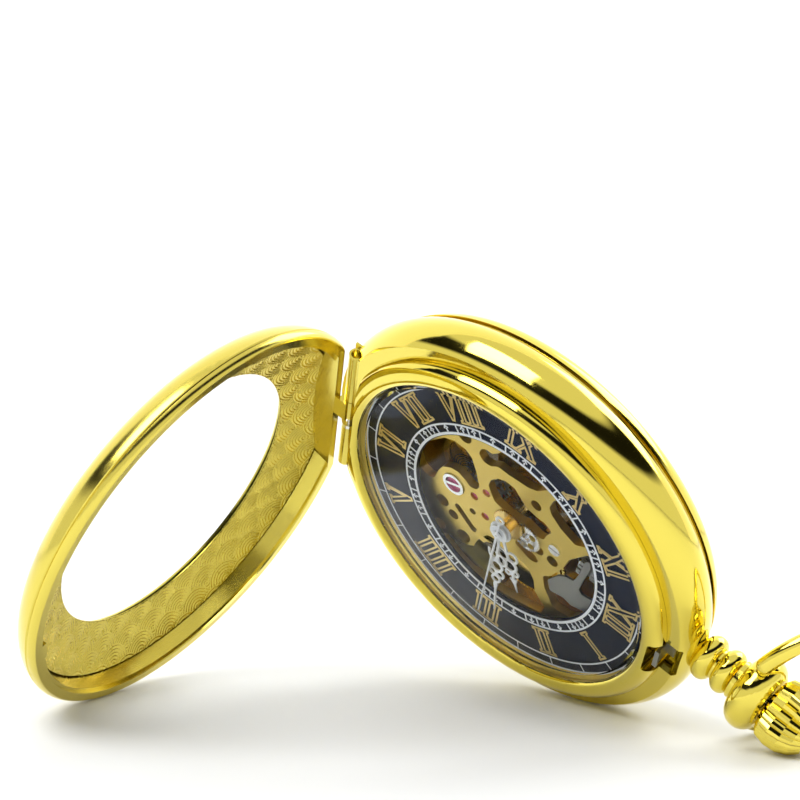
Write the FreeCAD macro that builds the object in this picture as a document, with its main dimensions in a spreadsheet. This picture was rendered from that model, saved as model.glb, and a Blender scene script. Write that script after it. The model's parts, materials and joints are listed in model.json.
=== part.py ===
import FreeCAD, Part
import math
import os
import Sketcher
from FreeCAD import Vector, Rotation, Placement

# Hunter pocket watch with a glazed front lid, an open-heart dial and a hand-wound movement.
# Watch frame: Z leaves the dial, X points to 12 o'clock, Y to 9 o'clock. Z = 0 is the ledge
# that the closed lid's rim meets. The row frame turns this watch frame into the rest pose:
# lid open on its stop, standing on lid rim, case edge and crown.

doc = FreeCAD.newDocument("pocket_watch")
sheet = doc.addObject("Spreadsheet::Sheet", "Sizes")

SIZES = [
    ("case_radius", 23.5), ("bulge_height", -2.6),
    ("case_bore", 19.2), ("case_back", -5.2), ("ledge_radius", 22.34),
    ("bezel_radius", 20.85), ("bezel_top", 1.62), ("lip_radius", 18.58), ("lip_height", 1.03),
    ("crystal_radius", 19.0), ("crystal_apex", 2.4),
    ("back_plane", -7.6), ("back_opening", 18.2), ("back_glass_apex", -7.5),
    ("stem_height", -3.0), ("stem_radius", 0.5), ("pendant_bore", 0.9),
    ("ball_place", 30.2), ("ball_radius", 4.0), ("ball_end", 31.7),
    ("crown_start", 31.9), ("crown_length", 5.3), ("crown_radius", 3.6), ("crown_flutes", 20),
    ("bow_place", 29.9),
    ("bow_radius", 8.6), ("bow_wire", 0.9), ("bow_foot", 5.1), ("bow_pin", 0.6),
    ("bow_swing", 60), ("bow_hole", 0.65),
    ("hinge_place", -21.18), ("hinge_height", -0.63), ("knuckle_radius", 0.78),
    ("knuckle_bore", 0.35), ("pin_radius", 0.3), ("lid_opening", 90.87),
    ("rim_radius", 22.4), ("rim_gap", 0.05), ("shoulder_radius", 22.83),
    ("wall_radius", 21.13), ("wall_top", 2.13), ("window_radius", 15.36), ("window_height", 4.0),
    ("chord_outer", -20.1), ("chord_inner", -19.2), ("bezel_chord", -19.08),
    ("dial_radius", 18.9), ("dial_hole", 11.6), ("dial_base", -0.9), ("dial_thick", 0.4),
    ("plate_radius", 18.55), ("plate_base", -2.6), ("plate_thick", 0.9),
    ("bridge_base", -5.9), ("bridge_thick", 0.9), ("foot_inner", 15.6), ("foot_outer", 18.4),
    ("barrel_module", 0.1444), ("train_module", 0.11), ("third_module", 0.11647),
    ("fourth_module", 0.1), ("ratchet_module", 0.2), ("cannon_module", 0.09375),
    ("hour_module", 0.09), ("wheel_thick", 0.2), ("escape_radius", 1.9),
    ("balance_radius", 3.9), ("balance_rim", 0.6), ("hand_thick", 0.15),
    ("yaw", -28.135), ("pitch", 30.19), ("roll", 127.818),
]
for row, (alias, number) in enumerate(SIZES, start=1):
    sheet.set("A%d" % row, alias)
    sheet.set("B%d" % row, str(number))
    sheet.setAlias("B%d" % row, alias)
doc.recompute()


def size(alias):
    return float(sheet.get(alias))


# ---- places in the watch frame ------------------------------------------------------------
REST = Rotation(size("yaw"), size("pitch"), size("roll"))
CASE = Placement(Vector(0, 0, 0), REST)
HINGE = Vector(size("hinge_place"), 0, size("hinge_height"))
OPENED = Placement(Vector(0, 0, 0), Rotation(Vector(0, 1, 0), -size("lid_opening")), HINGE)
LID = CASE * OPENED

CENTRE = (0.0, 0.0)
BARREL = (1.723, -5.665)
THIRD = (-3.158, -2.389)
ESCAPE = (-3.57, 1.441)
PALLET = (-4.905, -0.495)
BALANCE = (-7.6, -1.0)
MINUTE = (2.219, -0.371)
CROWN_WHEEL = (6.79, 0.0)

NODES = []


def at(place, angle=0.0, height=0.0):
    """A wheel's own placement: on the case, at a place in the watch plane, turned in phase."""
    spot = Vector(place[0], place[1], height)
    return CASE * Placement(spot, Rotation(Vector(0, 0, 1), angle))


def bearing(start, end):
    return math.degrees(math.atan2(end[1] - start[1], end[0] - start[0]))


def polar(radius, degrees):
    angle = math.radians(degrees)
    return (radius * math.cos(angle), radius * math.sin(angle))


# ---- building helpers ---------------------------------------------------------------------
def new_body(label, placement):
    body = doc.addObject("PartDesign::Body", label)
    body.Label = label
    body.Placement = placement
    NODES.append(body)
    return body


def new_sketch(body, role, offset=None):
    planes = [one for one in body.Origin.OriginFeatures if one.Role == role]
    sketch = body.newObject("Sketcher::SketchObject", body.Name + "_sketch")
    sketch.AttachmentSupport = [(planes[0], "")]
    sketch.MapMode = "FlatFace"
    if isinstance(offset, str):
        sketch.setExpression("AttachmentOffset.Base.z", offset)
    elif offset is not None:
        sketch.AttachmentOffset = Placement(Vector(0, 0, offset), Rotation())
    return sketch


def flat(point):
    return Vector(point[0], point[1], 0)


def outline(path):
    """Edges of a closed path: points joined by lines, or ("arc", middle, end) for an arc."""
    edges = []
    start = path[0]
    here = start
    for step in list(path[1:]) + [start]:
        if step[0] == "arc":
            edges.append(Part.Arc(flat(here), flat(step[1]), flat(step[2])))
            here = step[2]
        elif flat(step).distanceToPoint(flat(here)) > 1e-7:
            edges.append(Part.LineSegment(flat(here), flat(step)))
            here = step
    return edges


def circle(radius, centre=CENTRE):
    return [Part.Circle(flat(centre), Vector(0, 0, 1), radius)]


def draw(sketch, loops):
    for loop in loops:
        sketch.addGeometry(loop, False)


def rounded(points, radius):
    """A closed path through the points with every corner rounded to the radius."""
    path = []
    count = len(points)
    for i, corner in enumerate(points):
        before = flat(points[i - 1]) - flat(corner)
        after = flat(points[(i + 1) % count]) - flat(corner)
        half = before.getAngle(after) / 2
        reach = min(radius / math.tan(half), 0.45 * before.Length, 0.45 * after.Length)
        bend = reach * math.tan(half)
        first = flat(corner) + before.normalize() * reach
        last = flat(corner) + after.normalize() * reach
        inward = before + after
        if inward.Length < 1e-6:
            path.append(corner)
            continue
        inward.normalize()
        hub = flat(corner) + inward * (bend / math.sin(half))
        middle = hub - inward * bend
        path.append((first.x, first.y))
        path.append(("arc", (middle.x, middle.y), (last.x, last.y)))
    return path


def capsule(start, end, radius):
    """A slot with round ends between two points."""
    along = flat(end) - flat(start)
    along.normalize()
    side = Vector(-along.y, along.x, 0) * radius
    a, b = flat(start) + side, flat(end) + side
    c, d = flat(end) - side, flat(start) - side
    far, near = flat(end) + along * radius, flat(start) - along * radius
    return [(a.x, a.y), (b.x, b.y), ("arc", (far.x, far.y), (c.x, c.y)), (d.x, d.y),
            ("arc", (near.x, near.y), (a.x, a.y))]


def dome(apex, radius, height):
    """The point half way along a spherical dome from its apex to a rim."""
    centre = (apex ** 2 - height ** 2 - radius ** 2) / (2 * (apex - height))
    sweep = math.atan2(radius, abs(height - centre)) / 2
    reach = apex - centre
    return (abs(reach) * math.sin(sweep), centre + reach * math.cos(sweep))


def turned(label, path, placement, axis="V_Axis"):
    """A body of revolution: the path is (radius, height), or (x, radius) about H_Axis."""
    body = new_body(label, placement)
    sketch = new_sketch(body, "XZ_Plane")
    draw(sketch, [outline(path)])
    feature = body.newObject("PartDesign::Revolution", label + "_turn")
    feature.Profile = sketch
    feature.ReferenceAxis = (sketch, [axis])
    feature.Angle = 360
    return body


def plate(label, loops, base, thick, placement):
    """A flat piece: loops padded up from base; base and thick are sheet names or numbers."""
    body = new_body(label, placement)
    sketch = new_sketch(body, "XY_Plane", base)
    draw(sketch, loops)
    pad = body.newObject("PartDesign::Pad", label + "_pad")
    pad.Profile = sketch
    if isinstance(thick, str):
        pad.setExpression("Length", thick)
    else:
        pad.Length = thick
    return body


def pocket(body, loops, base, depth, up=False):
    """Cut the loops out of a body from height base, downwards unless up is set."""
    sketch = new_sketch(body, "XY_Plane", base)
    draw(sketch, loops)
    cut = body.newObject("PartDesign::Pocket", body.Name + "_cut")
    cut.Profile = sketch
    cut.Length = depth
    cut.Reversed = up
    return cut


def bore_x(body, radius, height, start, end):
    """Drill along X through a body, round the line at this height."""
    sketch = new_sketch(body, "YZ_Plane", start)
    draw(sketch, [circle(radius, (0, height))])
    cut = body.newObject("PartDesign::Pocket", body.Name + "_bore")
    cut.Profile = sketch
    cut.Length = end - start
    cut.Reversed = True
    return cut


def solid(label, shape, placement):
    """A piece whose form neither a body nor a primitive fits."""
    piece = doc.addObject("Part::Feature", label)
    piece.Label = label
    piece.Shape = shape
    piece.Placement = placement
    NODES.append(piece)
    return piece


def tooth_loop(teeth, module, top=0.8, root=1.0, phase=0.0, width=0.34):
    """A gear's outline, one tooth centred on the phase angle."""
    pitch_radius = teeth * module / 2
    step = 2 * math.pi / teeth
    tip, foot = pitch_radius + top * module, pitch_radius - root * module
    points = []
    for i in range(teeth):
        middle = math.radians(phase) + i * step
        for radius, share in ((foot, -0.62), (tip, -0.28), (tip, 0.28), (foot, 0.62)):
            angle = middle + share * 2 * width * step / 1.24
            points.append((radius * math.cos(angle), radius * math.sin(angle)))
    return outline(points)


def spokes(inner, outer, count, width, turn=0.0):
    """Windows between the arms of a wheel."""
    loops = []
    for i in range(count):
        start, end = turn + 360.0 * i / count, turn + 360.0 * (i + 1) / count
        near = math.degrees(math.asin(width / 2 / inner))
        far = math.degrees(math.asin(width / 2 / outer))
        middle = (start + end) / 2
        loops.append(outline([
            polar(inner, start + near), polar(outer, start + far),
            ("arc", polar(outer, middle), polar(outer, end - far)),
            polar(inner, end - near),
            ("arc", polar(inner, middle), polar(inner, start + near))]))
    return loops


def arbor(label, steps, placement, bore=0.0):
    """A turned arbor from (height, radius) steps, lowest first."""
    path = [(bore, steps[0][0])]
    for (low, radius), (high, unused) in zip(steps[:-1], steps[1:]):
        path += [(radius, low), (radius, high)]
    path.append((bore, steps[-1][0]))
    return turned(label, path, placement)


def leaf(teeth, module, low, high, phase=0.0):
    """A pinion's toothed length, as a plain solid."""
    wire = Part.Wire([edge.toShape() for edge in tooth_loop(teeth, module, 0.75, 1.0, phase)])
    block = Part.Face(wire).extrude(Vector(0, 0, high - low))
    block.translate(Vector(0, 0, low))
    return block


def rod(radius, low, high, centre=CENTRE):
    return Part.makeCylinder(radius, high - low, Vector(centre[0], centre[1], low))


def pinion(label, teeth, module, low, high, arbor_steps, placement, phase, bore=0.0):
    """A pinion cut from one piece with its arbor."""
    shape = leaf(teeth, module, low, high, phase)
    for radius, start, end in arbor_steps:
        shape = shape.fuse(rod(radius, start, end))
    if bore:
        shape = shape.cut(rod(bore, -20, 20))
    return solid(label, shape.removeSplitter(), placement)


def spiral(inner, outer, turns, strip, low, high):
    """A flat spiral spring strip."""
    count = 24 * turns
    inside, outside = [], []
    for step in range(count + 1):
        angle = 2 * math.pi * step / 24
        radius = inner + (outer - inner) * step / count
        along = Vector(math.cos(angle), math.sin(angle), 0)
        inside.append(along * (radius - strip / 2) + Vector(0, 0, low))
        outside.append(along * (radius + strip / 2) + Vector(0, 0, low))
    loop = Part.makePolygon(outside + inside[::-1] + outside[:1])
    return Part.Face(loop).extrude(Vector(0, 0, high - low))


def build_case():
    bore, back, top = size("case_bore"), size("case_back"), size("ledge_radius")
    widest, waist = size("case_radius"), size("bulge_height")
    band = turned("case_band", [
        (bore, back), (bore, 0), (top, 0), ("arc", (widest, waist), (22.64, -4.9)),
        (22.35, -4.95), (22.35, back)], CASE)
    bore_x(band, 1.2, size("stem_height"), 15, 25)
    latch_slot = outline(rounded([(19.6, -2.3), (22.6, -2.3), (22.6, 2.3), (19.6, 2.3)], 0.3))
    pocket(band, [latch_slot], 0, 1.6)
    wall, relief = -20.25, -20.0
    hinge_well = outline([
        (-26, -9.5), (wall, -9.5), (wall, -1.35), (relief, -1.35), (relief, 1.85), (wall, 1.85),
        (wall, 9.5), (-26, 9.5)])
    pocket(band, [hinge_well], 0, 1.7)

    lip, height, edge = size("lip_radius"), size("lip_height"), size("bezel_radius")
    bezel = turned("front_bezel", [
        (19.05, 0.02), (edge, 0.02), ("arc", (20.52, 1.12), (19.55, size("bezel_top"))),
        ("arc", (18.95, 1.52), (lip, height + 0.2)), (lip, height), (19.05, height - 0.05)],
        CASE)
    chord = size("bezel_chord")
    pocket(bezel, [outline([(-24, -12), (chord, -12), (chord, 12), (-24, 12)])], 2.5, 3.0)
    pocket(bezel, [latch_slot], 2.5, 3.0)

    glass = size("crystal_radius")
    turned("front_crystal", [
        (0, 1.7), ("arc", dome(1.7, 17.8, 0.5), (17.8, 0.5)), (18.1, 0.05), (glass, 0.05),
        (glass, 0.93), (18.5, 0.98), (18.3, 1.3),
        ("arc", dome(size("crystal_apex"), 18.3, 1.3), (0, size("crystal_apex")))], CASE)

    plane, opening = size("back_plane"), size("back_opening")
    turned("back_bezel", [
        (18.95, -5.25), (22.1, -5.25), (22.1, -5.4), (22.5, -5.5),
        ("arc", (21.85, -6.75), (19.9, plane)), (opening + 0.2, plane), (opening, plane + 0.2),
        (opening, -6.6), (18.95, -6.6)], CASE)
    turned("back_crystal", [
        (0, -6.85), ("arc", dome(-6.85, 17.6, -6.35), (17.6, -6.35)), (18.9, -6.3),
        (18.9, -6.58), (18.15, -6.58), (18.1, -6.62),
        ("arc", dome(size("back_glass_apex"), 18.1, -6.62), (0, size("back_glass_apex")))], CASE)
    turned("movement_ring", [
        (18.65, -5.15), (19.15, -5.15), (19.15, -0.95), (18.2, -0.95), (18.2, -1.3),
        (18.65, -1.3)], CASE)
    bore_x(NODES[-1], 1.25, size("stem_height"), 15, 22)
    turned("dial_ring", [(18.45, -0.48), (19.15, -0.48), (19.15, 0.0), (18.75, 0.0)], CASE)


def build_pendant():
    """Neck with two beads, a collar and the ball that carries the bow."""
    ball, radius, end = size("ball_place"), size("ball_radius"), size("ball_end")
    bore, pivot = size("pendant_bore"), size("bow_place")
    path = [(22.0, bore), (22.0, 1.15), (23.25, 1.15), (23.25, 1.7),
            ("arc", (24.3, 2.45), (25.35, 1.65)), (25.55, 1.65),
            ("arc", (26.6, 2.4), (27.65, 1.6)), (27.7, 2.1), (28.2, 2.15),
            ("arc", (ball, radius), (end - 0.1, 3.05)), (end, 2.9), (end, bore)]
    spot = CASE * Placement(Vector(0, 0, size("stem_height")), Rotation())
    body = turned("pendant", path, spot, "H_Axis")
    for side in (1, -1):
        sketch = new_sketch(body, "XZ_Plane", 6.0 * side)
        draw(sketch, [circle(size("bow_hole"), (pivot, 0))])
        socket = body.newObject("PartDesign::Pocket", "bow_socket")
        socket.Profile = sketch
        socket.Length = 3.0
        socket.Reversed = side < 0


def build_bow():
    """Wire ring on two pins in the ball, swung towards the back of the case."""
    ring, wire, foot = size("bow_radius"), size("bow_wire"), size("bow_foot")
    centre = math.sqrt(ring ** 2 - foot ** 2)
    spread = math.degrees(math.atan2(foot, -centre))
    loop = doc.addObject("Part::Torus", "bow_loop")
    loop.setExpression("Radius1", "Sizes.bow_radius")
    loop.setExpression("Radius2", "Sizes.bow_wire")
    loop.Angle3 = 2 * spread
    loop.Placement = Placement(Vector(centre, 0, 0), Rotation(Vector(0, 0, 1), -spread))
    pins = []
    for side in (1, -1):
        pin = doc.addObject("Part::Cylinder", "bow_pin")
        pin.setExpression("Radius", "Sizes.bow_pin")
        pin.Height = foot + 0.25 - 3.15
        turn = Rotation(Vector(1, 0, 0), -90 * side)
        pin.Placement = Placement(Vector(0, 3.15 * side, 0), turn)
        cap = doc.addObject("Part::Sphere", "bow_foot")
        cap.Radius = wire
        cap.Placement = Placement(Vector(0, foot * side, 0), Rotation())
        pins += [pin, cap]
    bow = doc.addObject("Part::MultiFuse", "bow")
    bow.Shapes = [loop] + pins
    bow.Label = "bow"
    pivot = Vector(size("bow_place"), 0, size("stem_height"))
    bow.Placement = CASE * Placement(pivot, Rotation(Vector(0, 1, 0), size("bow_swing")))
    NODES.append(bow)


def fluted_ring(place, radius, depth, count):
    points = []
    for i in range(count * 4):
        angle = 2 * math.pi * i / (count * 4)
        reach = radius - depth * (0.0, 0.35, 1.0, 0.35)[i % 4]
        points.append(Vector(place, reach * math.cos(angle), reach * math.sin(angle)))
    return Part.makePolygon(points + [points[0]])


def build_crown():
    """Onion crown: flutes that swell and taper, a smooth nose and the stem it turns."""
    start, length, radius = size("crown_start"), size("crown_length"), size("crown_radius")
    flutes = int(size("crown_flutes"))
    shares = ((0.0, 0.76), (0.08, 0.92), (0.3, 1.0), (0.55, 0.97), (0.78, 0.82), (0.94, 0.6))
    rings = [fluted_ring(start + length * share, radius * grow, 0.11 * radius * grow, flutes)
             for share, grow in shares]
    shape = Part.makeLoft(rings, True, True)
    nose = Part.makeSphere(radius * 0.56, Vector(start + length * 0.55, 0, 0))
    shape = shape.fuse(nose)
    along = Vector(1, 0, 0)
    shape = shape.cut(Part.makeCylinder(1.0, 0.5, Vector(start - 0.3, 0, 0), along))
    shape = shape.cut(Part.makeCylinder(size("stem_radius"), 2.0, Vector(start, 0, 0), along))
    shape = shape.removeSplitter()
    spot = CASE * Placement(Vector(0, 0, size("stem_height")), Rotation())
    solid("crown", shape, spot)
    stem = size("stem_radius")
    turned("winding_stem", [
        (8.0, 0), (8.0, stem - 0.1), (8.1, stem), (33.8, stem),
        (33.8, 0)], spot, "H_Axis")
    turned("crown_sleeve", [
        (27.5, 0.55), (27.5, 0.84), (31.4, 0.84), (31.4, 0.55)], spot, "H_Axis")


# ---- hinge --------------------------------------------------------------------------------
def tube_y(radius, bore, start, end, spot):
    axis = Vector(0, 1, 0)
    base = Vector(spot.x, start, spot.z)
    tube = Part.makeCylinder(radius, end - start, base, axis)
    if bore:
        tube = tube.cut(Part.makeCylinder(bore, end - start, base, axis))
    return tube


def block(low, high):
    return Part.makeBox(high[0] - low[0], high[1] - low[1], high[2] - low[2], Vector(*low))


def build_hinge():
    outer, inner = size("knuckle_radius"), size("knuckle_bore")
    x, z = HINGE.x, HINGE.z
    hole = tube_y(inner, 0, -12, 12, HINGE)
    spans = ((1.75, 9.1), (-9.35, -2.8))
    shape = block((x - 0.85, -9.4, -1.68), (-20.3, 9.4, -1.42))
    for start, end in spans:
        shape = shape.fuse(tube_y(outer, 0, start, end, HINGE))
        shape = shape.fuse(block((x - 0.5, start, -1.6), (x + 0.5, end, z)))
    web = block((-20.75, 1.75, -1.6), (-20.3, 9.1, -0.1))
    web = web.cut(tube_y(0.26, 0, 7.5, 9.2, Vector(-20.5, 0, -0.42)))
    mouth = tube_y(0.56, 0, 7.9, 9.2, HINGE)
    shape = shape.fuse(web).cut(hole).cut(mouth).removeSplitter()
    solid("case_hinge", shape, CASE)
    pin = tube_y(size("pin_radius"), 0, -8.9, 7.8, HINGE)
    plug = tube_y(0.82, 0, -2.8, -2.3, HINGE)
    solid("hinge_pin", pin.fuse(plug).removeSplitter(), CASE)
    leaf_plate = block((x, -1.15, z - 0.2), (size("chord_outer"), 1.65, 0.36))
    leaf_plate = leaf_plate.cut(tube_y(outer, 0, -2, 2, HINGE))
    riser = block((size("chord_outer") - 0.45, -1.15, z - 0.2), (size("chord_outer"), 1.65, 1.6))
    knuckle = tube_y(outer, 0, -1.15, 1.65, HINGE).fuse(leaf_plate).fuse(riser)
    solid("lid_knuckle", knuckle.cut(hole).removeSplitter(), LID)


# ---- lid ----------------------------------------------------------------------------------
def lathe(path):
    wire = Part.Wire([edge.toShape() for edge in outline(path)])
    wire.rotate(Vector(0, 0, 0), Vector(1, 0, 0), 90)
    return Part.Face(wire).revolve(Vector(0, 0, 0), Vector(0, 0, 1), 360)


def build_lid():
    gap, rim, shoulder = size("rim_gap"), size("rim_radius"), size("shoulder_radius")
    wall, top = size("wall_radius"), size("wall_top")
    outside = lathe([
        (0, gap), (rim, gap), ("arc", (22.72, 0.4), (shoulder, 0.85)), (22.66, 1.0),
        (22.8, 1.15), ("arc", (21.9, 3.1), (19.45, 4.28)), (19.2, 4.2), (17.6, 4.5), (0, 4.5)])
    cavity = lathe([
        (0, -1), (21.5, -1), (21.5, 0.4), (wall, 0.4), (wall - 0.15, top + 0.1),
        (wall - 0.2, 2.75), (19.9, 3.6), (17.6, 4.0), (17.55, 5.0), (0, 5.0)])
    opening = lathe([(0, 3), (17.4, 3), (17.4, 6), (0, 6)])
    inner, outer = size("chord_inner"), size("chord_outer")
    cavity = cavity.common(block((inner, -30, -2), (30, 30, 8)))
    shape = outside.cut(cavity).cut(opening)
    shape = shape.common(block((outer, -30, -2), (30, 30, 8)))
    catch = block((20.92, -1.2, 0.1), (21.7, 1.2, 0.5))
    shape = shape.fuse(catch).removeSplitter()
    solid("lid_shell", shape, LID)

    window, height = size("window_radius"), size("window_height")
    rise = (height - top) / (wall - 0.28 - window)
    ring = lathe([
        (wall - 0.28, top), ("arc", (18.1, top + rise * 2.75 + 0.12), (window, height)),
        (window, height + 0.08),
        ("arc", (18.1, top + rise * 2.75 + 0.32), (wall - 0.28, top + 0.3))])
    ring = ring.common(block((inner + 0.02, -30, -2), (30, 30, 8)))
    solid("lid_ring", ring, LID)
    turned("lid_window", [
        (0, 4.55), ("arc", dome(4.55, 17.0, 4.1), (17.0, 4.1)), (17.3, 4.1), (17.3, 4.5),
        (16.2, 4.62), ("arc", dome(5.15, 16.2, 4.62), (0, 5.15))], LID)
    turned("lid_window_bezel", [
        (15.9, 4.75), (16.3, 4.7), (18.1, 4.56), (18.25, 4.62), ("arc", (17.6, 5.0), (16.6, 5.1)),
        (16.0, 5.0)], LID)


def build_latch():
    """Steel hook in the slot at 12 o'clock, with its spring strip behind the ledge."""
    hook = block((20.3, -1.3, -1.5), (20.62, 1.3, 0.95))
    tip = block((20.6, -1.3, 0.62), (20.8, 1.3, 0.95))
    foot = block((20.3, -1.3, -1.5), (21.4, 1.3, -1.2))
    solid("lid_latch", hook.fuse(tip).fuse(foot).removeSplitter(), CASE)


# ---- dial and hands -----------------------------------------------------------------------
def build_dial():
    plate("dial", [circle(size("dial_radius")), circle(size("dial_hole"))],
          "Sizes.dial_base", "Sizes.dial_thick", CASE)


def band_ring(x, y, outer, inner, thick):
    ring = Part.makeCylinder(outer, thick, Vector(x, y, 0))
    return ring.cut(Part.makeCylinder(inner, thick, Vector(x, y, 0)))


def blade(points, thick):
    wire = Part.makePolygon([flat(p) for p in points] + [flat(points[0])])
    return Part.Face(wire).extrude(Vector(0, 0, thick))


def build_hand(label, pieces, bore, height, degrees):
    shape = pieces[0].multiFuse(pieces[1:])
    shape = shape.cut(Part.makeCylinder(bore, 2, Vector(0, 0, -1)))
    solid(label, shape.removeSplitter(), at(CENTRE, -degrees, height))


def build_hands():
    thick = size("hand_thick")
    hub = Part.makeCylinder(1.3, thick)
    hour = [hub, blade([(1.0, -0.22), (3.1, -0.16), (3.1, 0.16), (1.0, 0.22)], thick),
            band_ring(3.4, 0.62, 0.78, 0.5, thick), band_ring(3.4, -0.62, 0.78, 0.5, thick),
            band_ring(4.7, 0.0, 0.95, 0.62, thick), band_ring(5.7, 0.5, 0.45, 0.22, thick),
            band_ring(5.7, -0.5, 0.45, 0.22, thick),
            blade([(5.5, -0.14), (6.6, -0.14), (6.5, -0.5), (7.3, -0.13), (8.5, 0),
                   (7.3, 0.13), (6.5, 0.5), (6.6, 0.14), (5.5, 0.14)], thick)]
    build_hand("hour_hand", hour, 0.74, -0.1, 66.3)
    hub = Part.makeCylinder(1.1, thick)
    minute = [hub, blade([(0.9, -0.2), (3.6, -0.14), (3.6, 0.14), (0.9, 0.2)], thick)]
    for place, half, outer, inner in ((4.1, 0.62, 0.72, 0.46), (6.5, 0.5, 0.56, 0.32)):
        minute += [band_ring(place, half, outer, inner, thick)]
        minute += [band_ring(place, -half, outer, inner, thick)]
    minute += [band_ring(5.35, 0.0, 0.85, 0.56, thick), band_ring(7.5, 0.0, 0.62, 0.36, thick)]
    minute += [blade([(8.0, -0.16), (8.4, -0.3), (9.2, -0.14), (12.8, -0.04), (12.8, 0.04),
                      (9.2, 0.14), (8.4, 0.3), (8.0, 0.16)], thick)]
    build_hand("minute_hand", minute, 0.45, 0.25, 84.0)
    second = [Part.makeCylinder(0.55, thick),
              blade([(0.3, -0.12), (14.3, -0.04), (14.3, 0.04), (0.3, 0.12)], thick),
              blade([(-0.3, 0.1), (-2.3, 0.14), (-2.3, -0.14), (-0.3, -0.1)], thick),
              band_ring(-2.75, 0, 0.55, 0.28, thick)]
    build_hand("seconds_hand", second, 0.12, 0.6, 91.3)


# ---- movement frame -----------------------------------------------------------------------
PLATE_WINDOWS = [
    [(-5.3, 6.7), (-5.1, 7.7), (-4.5, 8.2), (-3.8, 8.1), (-3.1, 8.9), (-2.0, 11.0), (-1.2, 11.6),
     (0.9, 12.1), (2.6, 12.2), (3.7, 11.7), (4.1, 10.8), (3.5, 9.3), (2.2, 7.7), (1.1, 7.2),
     (-1.4, 6.9), (-2.8, 6.9), (-3.7, 6.1), (-4.6, 6.0)],
    [(3.9, 6.7), (4.2, 8.1), (5.2, 9.8), (7.2, 9.3), (8.3, 7.6), (9.2, 5.0), (7.7, 3.9),
     (5.7, 4.7), (4.3, 5.8)],
    [(-3.5, 3.0), (-3.3, 4.1), (-2.5, 5.1), (-1.5, 5.6), (-0.4, 5.5), (0.5, 4.7), (1.4, 3.9),
     (2.7, 3.7), (3.8, 3.7), (4.9, 3.1), (4.3, 2.1), (4.1, 1.0), (3.4, 0.8), (2.4, 1.1),
     (1.5, 1.3), (0.6, 0.9), (-0.5, 0.8), (-1.5, 1.0), (-2.4, 1.1), (-3.0, 2.0)],
    [(3.0, -1.0), (3.4, -0.4), (4.2, -0.6), (4.5, -1.4), (3.9, -2.0), (3.0, -1.8)],
    [(1.0, -2.2), (2.6, -2.2), (3.6, -2.5), (4.1, -3.2), (3.5, -3.7), (2.9, -3.7), (0.9, -2.9)],
    [(-12.7, -0.7), (-11.5, 2.7), (-9.7, 5.1), (-8.4, 5.8), (-6.9, 5.8), (-6.0, 5.2),
     (-5.2, 3.6), (-4.5, 1.6), (-4.8, 0.8), (-5.6, 0.5), (-6.3, 1.0), (-7.3, 1.4), (-8.3, 1.2),
     (-9.3, 0.4), (-9.7, -0.6), (-10.1, -2.5), (-10.9, -2.8), (-12.0, -2.4)],
    [(-7.8, -10.2), (-6.8, -9.7), (-5.6, -9.8), (-4.7, -9.3), (-3.5, -8.3), (-2.5, -6.4),
     (-1.6, -5.8), (-0.8, -5.9), (0.2, -5.6), (1.5, -5.0), (3.1, -5.4), (4.0, -6.6),
     (4.4, -8.2), (6.0, -9.7), (5.7, -11.1), (1.1, -12.6), (-3.8, -13.2), (-7.9, -12.2)],
    [(7.0, -1.0), (7.4, 0.9), (9.2, 3.7), (10.4, 4.2), (11.9, 3.0), (11.9, -2.2), (11.2, -5.6),
     (9.0, -8.2), (6.9, -8.6), (5.4, -6.4), (4.9, -4.7), (5.8, -3.9)],
]
PLATE_HOLES = [(2.4, 5.4, 0.65), (-7.3, 7.7, 0.9), (5.6, -1.3, 0.7), (-4.75, -3.1, 0.4),
               (-5.25, -8.2, 0.85), (-7.0, -6.0, 0.65), (-8.6, -5.0, 0.8), (-8.4, -9.1, 0.75),
               (-3.5, 10.1, 0.45)]
PLATE_SCREWS = [(5.6, 0.95, -1.7), (13.4, -3.3, -1.45), (13.4, -5.0, -1.45)]
JEWELLED = [THIRD, ESCAPE, PALLET]


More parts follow.
